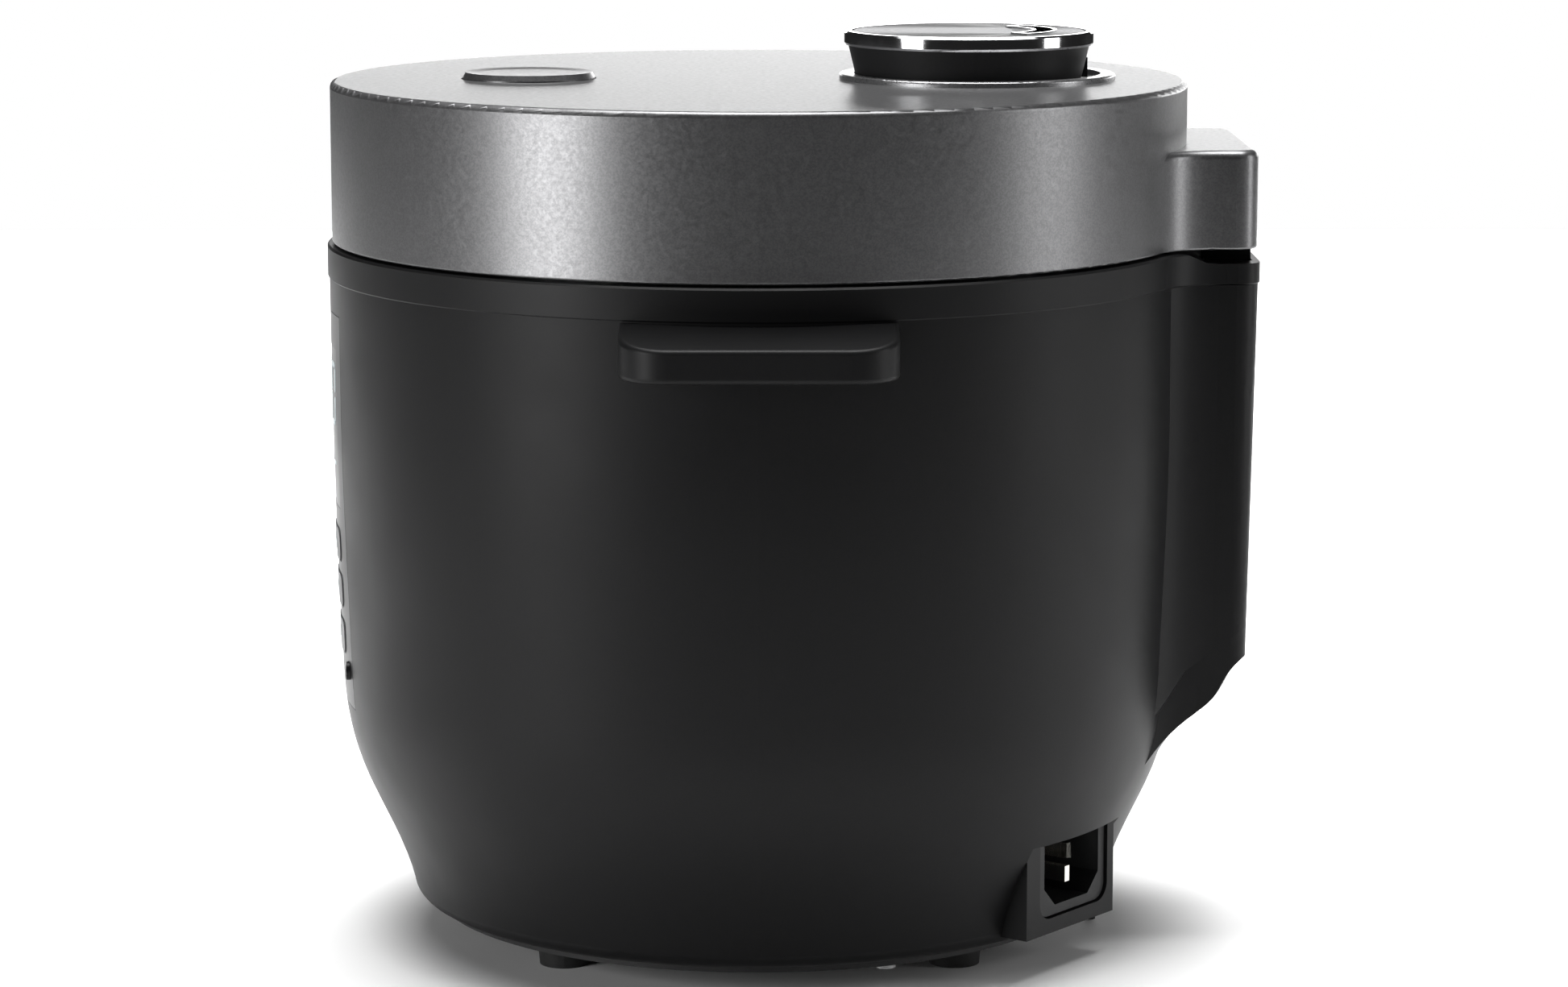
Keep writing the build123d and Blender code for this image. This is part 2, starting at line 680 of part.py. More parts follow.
# ---- lock ring ----
knob_turn = 80.0
ring_turn = knob_turn * pinion_teeth / ring_teeth
plate_in = 72.0
ring_base = 192.0
lock_form = spun([(plate_in, ring_base), (lock_in, ring_base), (lock_in, 178), (lock_out, 178),
                  (lock_out, ring_base + 2), (plate_in, ring_base + 2)])
claws = [sector(lock_in + 0.4, claw_tip, 178, 180.5, pitch * i - 9, pitch * i + 9) for i in range(claw_count)]
guide_slots = [sector(82.7, 77.3, 190, 196, 30 + 120 * i - ring_turn - 2.2, 30 + 120 * i + 2.2) for i in range(3)]
gear_strip = sector(77, 69.4, ring_base, 198, 55, 107)
tooth_step = 360 / ring_teeth


def gear_tooth(base, height, low, high, angle, center):
    """One tapered tooth standing on a circle, pointing out or in."""
    tip = base + height
    with BuildPart() as tooth:
        with BuildSketch(Plane.XY.offset(low)):
            with BuildLine():
                Polyline((base, -1.75), (tip, -0.75), (tip, 0.75), (base, 1.75), close=True)
            make_face()
        extrude(amount=high - low)
    return tooth.part.rotate(Axis.Z, angle).moved(Location((0, center, 0)))


inner_teeth = [gear_tooth(69.6, -2.8, ring_base, 198, 90 + tooth_step * (k + 0.5), 0) for k in range(-6, 3)]

with BuildPart() as lock_ring:
    add(lock_form)
    for claw in claws:
        add(claw)
    for slot in guide_slots:
        add(slot, mode=Mode.SUBTRACT)
    add(gear_strip)
    for tooth in inner_teeth:
        add(tooth)
    with Locations((0, 0, ring_base - 1)):
        Cylinder(66.6, 10, align=up, mode=Mode.SUBTRACT)
lock_ring.part.label = "lock_ring"
lock_ring.part.move(home)
export_step(lock_ring.part, "parts/lock_ring.step")

with BuildPart() as ring_rivets:
    with PolarLocations(80, 3, start_angle=30):
        with Locations((0, 0, ring_base - gap)):
            Cylinder(2.4, plate_high - ring_base + gap, align=up)
            Cylinder(4.2, 1.0, align=(Align.CENTER, Align.CENTER, Align.MAX))
ring_rivets.part.label = "ring_rivets"
ring_rivets.part.move(home)
export_step(ring_rivets.part, "parts/ring_rivets.step")

# ---- pressure lid ----
float_spot = (-40.0, 0.0)
with BuildPart() as pressure_lid:
    add(spun([(0, 182.9), (72, 182.9), (79.5, 184.5), (82.2, 187), (82.2, 189.5), (94.5, 189.5), (94.5, 190.4),
              (80.8, 190.4), (80.8, 187.4), (71.5, 184.1), (0, 184.1)]))
    with Locations((0, 0, 180)):
        Cylinder(3.0, 12, align=up, mode=Mode.SUBTRACT)
    with Locations((0, knob_y, 180)):
        Cylinder(3.5, 12, align=up, mode=Mode.SUBTRACT)
    with Locations((*float_spot, 180)):
        Cylinder(2.5 + running, 12, align=up, mode=Mode.SUBTRACT)
pressure_lid.part.label = "pressure_lid"
pressure_lid.part.move(home)
export_step(pressure_lid.part, "parts/pressure_lid.step")

with BuildPart() as sealing_gasket:
    add(spun([(82.2, 186.0), (87.5, 186.0), (88.6, 187.0), (88.6, 189.5), (82.2, 189.5)]))
sealing_gasket.part.label = "sealing_gasket"
sealing_gasket.part.move(home)
export_step(sealing_gasket.part, "parts/sealing_gasket.step")

with BuildPart() as center_stud:
    with Locations((0, 0, 176.4)):
        Cylinder(10, 6.5, align=up)
        Cylinder(3.0, 15, align=up)
        with PolarLocations(11.2, 8):
            Cylinder(2.2, 6.5, align=up, mode=Mode.SUBTRACT)
    fillet(center_stud.faces().sort_by(Axis.Z)[0].edges(), 0.8)
center_stud.part.label = "center_stud"
center_stud.part.move(home)
export_step(center_stud.part, "parts/center_stud.step")

with BuildPart() as float_valve:
    with Locations((*float_spot, 179.3)):
        Cylinder(2.5, 9.0, align=up)
        Cylinder(4.0, 1.2, align=(Align.CENTER, Align.CENTER, Align.MAX))
    with Locations((*float_spot, 184.15)):
        Cylinder(3.6, 4.0, align=up)
float_valve.part.label = "float_valve"
float_valve.part.move(home)
export_step(float_valve.part, "parts/float_valve.step")

with BuildPart() as exhaust_tube:
    with Locations((0, knob_y, 181.4)):
        Cylinder(3.5, 42.6, align=up)
        Cylinder(7.0, 1.5, align=up)
    with Locations((0, knob_y, 184.1)):
        Cylinder(6.0, 3.0, align=up)
    with Locations((0, knob_y, 181)):
        Cylinder(1.6, 50, align=up, mode=Mode.SUBTRACT)
exhaust_tube.part.label = "exhaust_tube"
exhaust_tube.part.move(home)
export_step(exhaust_tube.part, "parts/exhaust_tube.step")

with BuildPart() as anti_clog_cap:
    with Locations((0, knob_y, 174)):
        Cylinder(8.5, 7.4, align=up)
    with Locations((0, knob_y, 175.2)):
        Cylinder(7.3, 7.4, align=up, mode=Mode.SUBTRACT)
    with Locations((0, knob_y, 177)):
        with PolarLocations(8, 8):
            Box(4, 2, 2.6, align=up, mode=Mode.SUBTRACT)
    with Locations((0, knob_y, 180.4)):
        Cylinder(7.4, 1.0, align=up)
        Cylinder(2.0, 1.0, align=up, mode=Mode.SUBTRACT)
anti_clog_cap.part.label = "anti_clog_cap"
anti_clog_cap.part.move(home)
export_step(anti_clog_cap.part, "parts/anti_clog_cap.step")

# ---- knob ----
disc_low = knob_top - 1.2
rim_low = knob_top - 3.6


def at_knob(points):
    """Solid of revolution about the knob's own axis."""
    return spun(points).moved(Location((0, knob_y, 0)))


with BuildPart() as pressure_weight:
    add(at_knob([(1.0, 224.0), (6.5, 224.0), (6.5, 229.0), (0, 229.0), (0, 224.6)]))
    add(at_knob([(3.5 + 0.1, 221.0), (6.5, 221.0), (6.5, 224.5), (3.5 + 0.1, 224.5)]))
pressure_weight.part.label = "pressure_weight"
pressure_weight.part.move(home)
export_step(pressure_weight.part, "parts/pressure_weight.step")

skirt_low = lid_top + gap
with BuildPart() as knob_skirt:
    add(at_knob([(9.6, skirt_low), (29.0, skirt_low), (31.0, rim_low), (31.0, disc_low), (28.6, disc_low),
                 (28.6, rim_low), (26.8, skirt_low + 1.8), (11.0, skirt_low + 1.8), (11.0, 224.6), (9.6, 224.6)]))
    add(block(-0.7, 0.7, knob_y + 28.4, knob_y + 30.6, skirt_low, rim_low - 3.4))
knob_skirt.part.label = "knob_skirt"
knob_skirt.part.move(home)
export_step(knob_skirt.part, "parts/knob_skirt.step")

with BuildPart() as knob_rim:
    add(at_knob([(31.0, rim_low), (31.6, rim_low), (knob_radius, rim_low + 0.6), (knob_radius, knob_top - 0.5),
                 (knob_radius - 0.6, knob_top), (30.2, knob_top), (30.2, disc_low), (31.0, disc_low)]))
knob_rim.part.label = "knob_rim"
knob_rim.part.move(home)
export_step(knob_rim.part, "parts/knob_rim.step")

vent_cut = sector(22.6, 16.4, 225, 240, 38, 142).moved(Location((0, knob_y, 0)))
lip_outer = sector(22.6, 16.4, disc_low, knob_top + 0.25, 38, 142).moved(Location((0, knob_y, 0)))
lip_inner = sector(21.7, 17.3, 225, 240, 40.5, 139.5).moved(Location((0, knob_y, 0)))
with BuildPart() as knob_disc:
    add(at_knob([(0, disc_low), (30.2, disc_low), (30.2, knob_top - 0.3), (29.6, knob_top - 0.1), (0, knob_top - 0.1)]))
    add(vent_cut, mode=Mode.SUBTRACT)
knob_disc.part.label = "knob_disc"
knob_disc.part.move(home)
export_step(knob_disc.part, "parts/knob_disc.step")

with BuildPart() as knob_vent_lip:
    add(lip_outer)
    add(lip_inner, mode=Mode.SUBTRACT)
knob_vent_lip.part.label = "knob_vent_lip"
knob_vent_lip.part.move(home)
export_step(knob_vent_lip.part, "parts/knob_vent_lip.step")

pinion_pegs = [gear_tooth(12.3, 2.8, ring_base + 0.4, 198, 90 + 360 / pinion_teeth * k, knob_y)
               for k in range(pinion_teeth)]
with BuildPart() as knob_pinion:
    add(at_knob([(8.5, ring_base + 0.4), (12.5, ring_base + 0.4), (12.5, 198), (11.0, 198), (11.0, skirt_low),
                 (9.6, skirt_low), (9.6, 224.6), (8.5, 224.6)]))
    for peg in pinion_pegs:
        add(peg)
knob_pinion.part.label = "knob_pinion"
knob_pinion.part.move(home)
export_step(knob_pinion.part, "parts/knob_pinion.step")

bezel_shift = 2.2
with BuildPart() as knob_bezel:
    with Locations((0, knob_y + bezel_shift, lid_top)):
        Cylinder(35.5, 1.4, align=up)
    fillet(knob_bezel.faces().sort_by(Axis.Z)[-1].edges(), 0.6)
    with Locations((0, knob_y + bezel_shift, lid_top)):
        Cylinder(31.7, 3, align=up, mode=Mode.SUBTRACT)
knob_bezel.part.label = "knob_bezel"
knob_bezel.part.move(home)
export_step(knob_bezel.part, "parts/knob_bezel.step")

# ---- lid release button ----
arm_top = 207.0
with BuildPart() as lid_button:
    with BuildSketch(Plane.XZ.offset(-button_y)):
        with BuildLine():
            Polyline((0, lid_top + 1.3), (13, lid_top + 1.4), (button_radius - 0.7, lid_top + 1.7),
                     (button_radius, lid_top + 0.3), (button_radius, 217.8), (button_radius - 1.6, 217.8),
                     (button_radius - 1.6, 219.2), (4.0, 219.2), (4.0, arm_top + 0.25), (0, arm_top + 0.25), close=True)
        make_face()
    revolve(axis=Axis((0, button_y, 0), (0, 0, 1)))
lid_button.part.label = "lid_button"
lid_button.part.move(home)
export_step(lid_button.part, "parts/lid_button.step")

with BuildPart() as button_guide:
    with Locations((0, button_y, 210)):
        Cylinder(20.5, lid_top - lid_wall - 210, align=up)
    with Locations((0, button_y, 212)):
        Cylinder(button_radius + 0.4, 10, align=up, mode=Mode.SUBTRACT)
    with Locations((0, button_y, 200)):
        Cylinder(4.0 + running, 20, align=up, mode=Mode.SUBTRACT)
button_guide.part.label = "button_guide"
button_guide.part.move(home)
export_step(button_guide.part, "parts/button_guide.step")

button_coil = coil(7.5, 0.5, 212, 219.2, 3, 0, button_y)
with BuildPart() as button_spring:
    add(button_coil)
button_spring.part.label = "button_spring"
button_spring.part.move(home)
export_step(button_spring.part, "parts/button_spring.step")

with BuildPart() as latch_hook:
    add(side_shape([(button_y + 4, arm_top), (-104.9, arm_top), (-104.9, 175.6), (-103.1, 174.8), (-102.0, 176.2),
                    (-102.0, 178.0), (-103.1, 178.2), (-103.1, 203.2), (button_y + 4, 204.5)], 5.5))
    add(rod_x(1.5 + running, latch_y, latch_z, -8, 8), mode=Mode.SUBTRACT)
latch_hook.part.label = "latch_hook"
latch_hook.part.move(home)
export_step(latch_hook.part, "parts/latch_hook.step")

with BuildPart() as latch_pin:
    add(rod_x(1.5, latch_y, latch_z, -9.5, 9.5))
latch_pin.part.label = "latch_pin"
latch_pin.part.move(home)
export_step(latch_pin.part, "parts/latch_pin.step")
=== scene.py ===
import json
import math

import bmesh
import bpy
import numpy as np
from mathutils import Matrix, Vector


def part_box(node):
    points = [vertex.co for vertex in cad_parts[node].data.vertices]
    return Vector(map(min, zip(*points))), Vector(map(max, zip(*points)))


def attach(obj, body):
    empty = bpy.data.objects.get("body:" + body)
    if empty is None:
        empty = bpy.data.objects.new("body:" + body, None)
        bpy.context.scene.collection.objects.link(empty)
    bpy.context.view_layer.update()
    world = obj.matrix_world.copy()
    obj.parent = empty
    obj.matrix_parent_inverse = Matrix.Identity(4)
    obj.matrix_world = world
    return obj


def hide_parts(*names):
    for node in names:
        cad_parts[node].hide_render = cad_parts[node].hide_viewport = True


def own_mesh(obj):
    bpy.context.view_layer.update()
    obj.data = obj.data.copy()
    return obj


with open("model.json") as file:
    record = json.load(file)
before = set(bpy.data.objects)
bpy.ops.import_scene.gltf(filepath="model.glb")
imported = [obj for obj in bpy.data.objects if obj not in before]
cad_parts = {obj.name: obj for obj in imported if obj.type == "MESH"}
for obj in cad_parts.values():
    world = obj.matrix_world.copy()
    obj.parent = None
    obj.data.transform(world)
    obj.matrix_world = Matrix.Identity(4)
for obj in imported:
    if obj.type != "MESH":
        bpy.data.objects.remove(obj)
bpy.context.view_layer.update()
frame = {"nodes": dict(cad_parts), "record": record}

record = frame["record"]
nodes = frame["nodes"]
joints = {j["name"]: j for j in record["behaviour"]["joints"]}
potY = joints["lock_ring_turn"]["pos_m"][1]  # the pot axis stands at this Y
knobY = joints["knob_turn"]["pos_m"][1]      # and the knob axis at this one
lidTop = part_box("lid_cover")[1][2]
fullTurn = 2 * math.pi
print("frame loaded:", len(nodes), "nodes")


# A new material with its shader and the object's own coordinates.
def startFinish(name):
    mat = bpy.data.materials.new(name)
    mat.use_nodes = True
    tree = mat.node_tree
    shader = tree.nodes["Principled BSDF"]
    where = tree.nodes.new("ShaderNodeTexCoord")
    return mat, tree, shader, where.outputs["Object"]


# Noise whose blobs are about this many metres, drawn out along an axis by a small stretch value.
def noiseOn(tree, where, size, detail=2.0, stretch=(1, 1, 1)):
    mapping = tree.nodes.new("ShaderNodeMapping")
    mapping.inputs["Scale"].default_value = stretch
    tree.links.new(where, mapping.inputs["Vector"])
    noise = tree.nodes.new("ShaderNodeTexNoise")
    noise.inputs["Scale"].default_value = 1 / size
    noise.inputs["Detail"].default_value = detail
    tree.links.new(mapping.outputs["Vector"], noise.inputs["Vector"])
    return noise.outputs["Fac"]


noiseLow, noiseHigh = 0.3, 0.7  # nearly all noise lies between these


# Noise turned into values that swing by the same amount to both sides of a middle.
def spread(tree, source, middle, swing):
    ramp = tree.nodes.new("ShaderNodeMapRange")
    ramp.inputs["From Min"].default_value = noiseLow
    ramp.inputs["From Max"].default_value = noiseHigh
    ramp.inputs["To Min"].default_value = middle - swing
    ramp.inputs["To Max"].default_value = middle + swing
    tree.links.new(source, ramp.inputs["Value"])
    return ramp.outputs["Result"]


# Noise turned into a colour that runs from a little darker to a little lighter.
def tint(tree, source, colour, part):
    ramp = tree.nodes.new("ShaderNodeValToRGB")
    for end, place, gain in zip(ramp.color_ramp.elements, (noiseLow, noiseHigh), (1 - part, 1 + part)):
        end.position = place
        end.color = (*(c * gain for c in colour), 1)
    tree.links.new(source, ramp.inputs["Fac"])
    return ramp.outputs["Color"]


# Bump of a real depth in metres.
def dent(tree, source, shader, depth, strength):
    bump = tree.nodes.new("ShaderNodeBump")
    bump.inputs["Distance"].default_value = depth
    bump.inputs["Strength"].default_value = strength
    tree.links.new(source, bump.inputs["Height"])
    tree.links.new(bump.outputs["Normal"], shader.inputs["Normal"])


# What a finish has unless its own entry says otherwise. A patch is the size in metres of slow changes in it.
plasticBase = {"mottle": 0.12, "bump": 0.5, "specular": 0.5, "coat": 0.0, "coatRough": 0.1, "sheen": 0.0,
               "patch": 0.03, "roughSwing": 0.035}
paintBase = {"bump": 0.35, "patch": 0.0012, "roughSwing": 0.04}
metalBase = {"mottle": 0.06, "bump": 0.4, "stretch": (1, 1, 1), "anisotropic": 0.0, "patch": 0.018}
turnedBase = {"roughSwing": 0.05, "turnMap": None}


# Moulded plastic: fine spark grain and slow gloss changes from the mould.
def mouldedPlastic(name, look):
    look = {**plasticBase, **look}
    mat, tree, shader, where = startFinish(name)
    fine = noiseOn(tree, where, look["grain"], 3)
    slow = noiseOn(tree, where, look["patch"], 2)
    tree.links.new(tint(tree, fine, look["colour"], look["mottle"]), shader.inputs["Base Color"])
    tree.links.new(spread(tree, slow, look["rough"], look["roughSwing"]), shader.inputs["Roughness"])
    dent(tree, fine, shader, look["depth"], look["bump"])
    shader.inputs["Specular IOR Level"].default_value = look["specular"]
    shader.inputs["Coat Weight"].default_value = look["coat"]
    shader.inputs["Coat Roughness"].default_value = look["coatRough"]
    shader.inputs["Sheen Weight"].default_value = look["sheen"]
    return mat


# Metallic paint: tiny flakes that catch the light differently, a thin satin lacquer over them.
def flakePaint(name, look):
    look = {**paintBase, **look}
    mat, tree, shader, where = startFinish(name)
    flakes = tree.nodes.new("ShaderNodeTexVoronoi")
    flakes.inputs["Scale"].default_value = 1 / look["flake"]
    tree.links.new(where, flakes.inputs["Vector"])
    sparkle = tint(tree, flakes.outputs["Color"], look["colour"], look["sparkle"])
    tree.links.new(sparkle, shader.inputs["Base Color"])
    cloud = noiseOn(tree, where, look["patch"], 4)
    tree.links.new(spread(tree, cloud, look["rough"], look["roughSwing"]), shader.inputs["Roughness"])
    dent(tree, cloud, shader, look["depth"], look["bump"])
    shader.inputs["Metallic"].default_value = look["metallic"]
    shader.inputs["Coat Weight"].default_value = look["coat"]
    shader.inputs["Coat Roughness"].default_value = look["coatRough"]
    return mat


# Metal with brush lines drawn out along one direction and slow smears of gloss.
def wornMetal(name, look):
    look = {**metalBase, **look}
    mat, tree, shader, where = startFinish(name)
    lines = noiseOn(tree, where, look["line"], 3, look["stretch"])
    slow = noiseOn(tree, where, look["patch"], 3)
    tree.links.new(tint(tree, slow, look["colour"], look["mottle"]), shader.inputs["Base Color"])
    tree.links.new(spread(tree, lines, look["rough"], look["roughSwing"]), shader.inputs["Roughness"])
    dent(tree, lines, shader, look["depth"], look["bump"])
    shader.inputs["Metallic"].default_value = 1.0
    shader.inputs["Anisotropic"].default_value = look["anisotropic"]
    return mat


# Metal turned on a lathe: fine rings about an upright axis, from noise read along radius + height, so that
# they run round flat faces and upright walls alike.
def turnedMetal(name, look):
    look = {**turnedBase, **look}
    mat, tree, shader, where = startFinish(name)
    moved = tree.nodes.new("ShaderNodeMapping")
    moved.inputs["Location"].default_value = (0, -look["axisY"], 0)
    moved.inputs["Scale"].default_value = (1, 1, 0)
    tree.links.new(where, moved.inputs["Vector"])
    radius = tree.nodes.new("ShaderNodeVectorMath")
    radius.operation = "LENGTH"
    tree.links.new(moved.outputs["Vector"], radius.inputs[0])
    apart = tree.nodes.new("ShaderNodeSeparateXYZ")
    tree.links.new(where, apart.inputs["Vector"])
    reach = tree.nodes.new("ShaderNodeMath")
    tree.links.new(radius.outputs["Value"], reach.inputs[0])
    tree.links.new(apart.outputs["Z"], reach.inputs[1])
    rings = tree.nodes.new("ShaderNodeTexNoise")
    rings.noise_dimensions = "1D"
    rings.inputs["Scale"].default_value = 1 / look["line"]
    rings.inputs["Detail"].default_value = 3
    tree.links.new(reach.outputs["Value"], rings.inputs["W"])
    ringNoise = rings.outputs["Fac"]
    tree.links.new(tint(tree, ringNoise, look["colour"], look["mottle"]), shader.inputs["Base Color"])
    tree.links.new(spread(tree, ringNoise, look["rough"], look["roughSwing"]), shader.inputs["Roughness"])
    dent(tree, ringNoise, shader, look["depth"], look["bump"])
    shader.inputs["Metallic"].default_value = 1.0
    shader.inputs["Anisotropic"].default_value = look["anisotropic"]
    shader.inputs["Specular Tint"].default_value = (*(look["edgeTint"],) * 3, 1)
    if look["turnMap"]:
        along = tree.nodes.new("ShaderNodeTangent")
        along.direction_type = "UV_MAP"
        along.uv_map = look["turnMap"]
        tree.links.new(along.outputs["Tangent"], shader.inputs["Tangent"])
    return mat


plastics = {
    "body_black": {"colour": (0.0060, 0.0060, 0.0063), "rough": 0.42, "grain": 0.00045, "depth": 0.00002,
                   "specular": 0.14},
    "ring_black": {"colour": (0.0055, 0.0055, 0.0058), "rough": 0.44, "grain": 0.0004, "depth": 0.00002,
                   "specular": 0.16},
    "inner_black": {"colour": (0.010, 0.010, 0.0105), "rough": 0.5, "grain": 0.0006, "depth": 0.00003,
                    "specular": 0.3},
    "gloss_black": {"colour": (0.006, 0.006, 0.0065), "rough": 0.37, "grain": 0.002, "depth": 0.00001,
                    "specular": 0.16, "bump": 0.15},
    "smoked": {"colour": (0.010, 0.0105, 0.012), "rough": 0.35, "grain": 0.002, "depth": 0.00001,
               "specular": 0.18, "bump": 0.1},
    "key_grey": {"colour": (0.05, 0.05, 0.053), "rough": 0.42, "grain": 0.0005, "depth": 0.00002,
                 "specular": 0.25},
    "foot_rubber": {"colour": (0.014, 0.014, 0.014), "rough": 0.62, "grain": 0.0008, "depth": 0.00006,
                    "specular": 0.3, "sheen": 0.06},
    "silicone": {"colour": (0.62, 0.62, 0.60), "rough": 0.42, "grain": 0.0012, "depth": 0.00003,
                 "mottle": 0.05},
    "float_red": {"colour": (0.42, 0.03, 0.025), "rough": 0.3, "grain": 0.001, "depth": 0.00002},
    "board": {"colour": (0.012, 0.085, 0.035), "rough": 0.33, "grain": 0.0015, "depth": 0.00003,
              "mottle": 0.3},
    "ceramic_white": {"colour": (0.62, 0.61, 0.58), "rough": 0.55, "grain": 0.0007, "depth": 0.00004,
                      "mottle": 0.06},
    "display": {"colour": (0.012, 0.016, 0.018), "rough": 0.07, "grain": 0.005, "depth": 0.000005,
                "coat": 1.0, "coatRough": 0.02, "bump": 0.1},
}
paints = {
    "lid_paint": {"colour": (0.15, 0.15, 0.153), "rough": 0.36, "flake": 0.00035, "sparkle": 0.10,
                  "depth": 0.000012, "metallic": 0.85, "coat": 0.12, "coatRough": 0.3},
    "bezel_grey": {"colour": (0.27, 0.27, 0.275), "rough": 0.3, "flake": 0.0003, "sparkle": 0.12,
                   "depth": 0.00001, "metallic": 0.85, "coat": 0.2, "coatRough": 0.2},
}
metals = {
    "chrome": {"colour": (0.62, 0.62, 0.63), "rough": 0.09, "roughSwing": 0.015, "line": 0.004,
               "depth": 0.000001, "mottle": 0.015},
    "steel": {"colour": (0.58, 0.58, 0.57), "rough": 0.27, "roughSwing": 0.02, "line": 0.0005,
              "depth": 0.000001, "mottle": 0.025, "stretch": (0.06, 0.06, 1.0), "anisotropic": 0.4},
    "steel_dark": {"colour": (0.36, 0.36, 0.36), "rough": 0.38, "roughSwing": 0.07, "line": 0.0012,
                   "depth": 0.00002},
    "aluminium": {"colour": (0.56, 0.56, 0.57), "rough": 0.44, "roughSwing": 0.08, "line": 0.0016,
                  "depth": 0.00005},
    "brass_pins": {"colour": (0.74, 0.72, 0.66), "rough": 0.2, "roughSwing": 0.05, "line": 0.0008,
                   "depth": 0.000008, "stretch": (1.0, 1.0, 0.1)},
    # near black in place of the bracket's dark steel, so the gap under the hinge block stays dark
    "hingeBlack": {"colour": (0.02, 0.02, 0.021), "rough": 0.5, "roughSwing": 0.06, "line": 0.0012,
                   "depth": 0.00002},
}
turnings = {
    "spun_metal": {"colour": (0.36, 0.36, 0.365), "rough": 0.36, "line": 0.0004, "mottle": 0.14,
                   "depth": 0.000002, "bump": 0.1, "anisotropic": 0.7, "edgeTint": 0.08, "turnMap": "turn",
                   "axisY": knobY},
    "pressedSteel": {"colour": (0.55, 0.55, 0.545), "rough": 0.32, "line": 0.0006, "mottle": 0.03,
                     "depth": 0.000002, "bump": 0.2, "anisotropic": 0.3, "edgeTint": 0.8, "axisY": potY},
}

finishes = {}
for maker, looks in ((mouldedPlastic, plastics), (flakePaint, paints), (wornMetal, metals),
                     (turnedMetal, turnings)):
    for finishName, look in looks.items():
        finishes[finishName] = maker(finishName, look)
print("finishes made:", len(finishes))

# Every node takes its slot's finish, but the steel that is turned about the pot axis shows its rings, and the
# hinge bracket, whose slot says dark steel, is made near black, so the gap under the hinge block stays dark.
slotOf = {s["node"]: s["material_slot"] for s in record["subparts"]}
ownFinish = {"pressure_lid": "pressedSteel", "inner_pot": "pressedSteel", "hinge_bracket": "hingeBlack"}
for nodeName, piece in nodes.items():
    for place in piece.material_slots:
        place.material = finishes[ownFinish.get(nodeName, slotOf[nodeName])]


# All points of a mesh, as rows of x, y, z.
def pointsOf(mesh):
    points = np.empty(len(mesh.vertices) * 3)
    mesh.vertices.foreach_get("co", points)
    return points.reshape(-1, 3)


# A new object at the origin that shows a mesh in one finish.
def pieceFrom(name, mesh, finish):
    mesh.materials.clear()
    mesh.materials.append(finish)
    piece = bpy.data.objects.new(name, mesh)
    bpy.context.scene.collection.objects.link(piece)
    return piece


# The disc keeps its shape; its own map runs round the knob so that the spun sheen fans out.
# Map u = angle about the knob axis / full turn, v = radius / largest radius.
def spunDisc():
    mesh = nodes["knob_disc"].data.copy()
    mesh.name = "spunDisc"
    work = bmesh.new()
    work.from_mesh(mesh)
    bmesh.ops.remove_doubles(work, verts=work.verts, dist=1e-6)
    work.to_mesh(mesh)
    work.free()
    for layer in list(mesh.uv_layers):
        mesh.uv_layers.remove(layer)
    turn = mesh.uv_layers.new(name=turnings["spun_metal"]["turnMap"])
    corner = np.empty(len(mesh.loops), dtype=np.int64)
    mesh.loops.foreach_get("vertex_index", corner)
    x, y, _ = pointsOf(mesh)[corner].T
    reach = np.hypot(x, y - knobY)
    fan = np.stack([np.arctan2(y - knobY, x) / fullTurn, reach / reach.max()], axis=1)
    turn.data.foreach_set("uv", fan.astype(np.float32).ravel())
    return pieceFrom("spunDisc", mesh, finishes["spun_metal"])


disc = spunDisc()
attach(disc, "knob")
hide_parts("knob_disc")
print("knob disc done")


# Backlit digits and key marks are thin raised bars that follow the curved front panel. All sizes in metres.
panelMarks = {
    "shoulder": 0.8,        # where a bar's pointed ends begin, as a share of its half length
    "lift": 0.00014,        # how far the marks stand proud of the panel
    "sink": 0.00056,        # and how far they reach into it
    "digitWide": 0.0075,
    "digitTall": 0.0150,
    "digitGap": 0.0042,
    "digitHeight": 0.142,   # height of the digits' middle above the floor
    "barWide": 0.0013,
    "barShare": 0.86,       # a bar's length as a share of the digit's side
    "slant": 0.08,          # how much the digits lean
    "clock": ((0, -1.65), (0, -0.65), (3, 0.65), (0, 1.65)),  # each digit and its place in digit steps
    "dotRise": 0.0028,
    "dotSize": 0.0008,
    "statusHeight": 0.124,
    "statusStep": 0.0095,
    "statusLong": 0.0022,
    "statusWide": 0.00045,
    "keyBarWide": 0.0008,
    "keyBarLong": 0.0040,
    "keyBarGap": 0.0012,
    "keyLineGap": 0.0013,
    "chevronRise": 0.0009,
}
litBars = {0: (0, 2, 3, 4, 5, 6), 3: (0, 1, 2, 4, 6)}  # 0 to 2 level bars from the top down, 3 to 6 upright
markLook = {"colour": (0.30, 0.33, 0.34), "rough": 0.45, "grain": 0.0004, "depth": 0.00001, "specular": 0.3}
markGlow = {"colour": (0.75, 0.86, 0.9, 1), "strength": 0.18}


# Radius of a node's outer skin about the pot axis as a function of height: the largest radius at each height,
# less every point that lies under the straight line between its two neighbours.
def skinOf(nodeName):
    points = pointsOf(nodes[nodeName].data)
    radius = np.hypot(points[:, 0], points[:, 1] - potY)
    heights, level = np.unique(np.round(points[:, 2], 5), return_inverse=True)
    highest = np.zeros(len(heights))
    np.maximum.at(highest, level.ravel(), radius)
    while len(heights) > 2:
        share = (heights[1:-1] - heights[:-2]) / (heights[2:] - heights[:-2])
        chord = highest[:-2] + (highest[2:] - highest[:-2]) * share
        above = np.concatenate([[True], highest[1:-1] >= chord - 1e-7, [True]])
        if above.all():
            break
        heights, highest = heights[above], highest[above]
    return lambda z: np.interp(z, heights, highest)


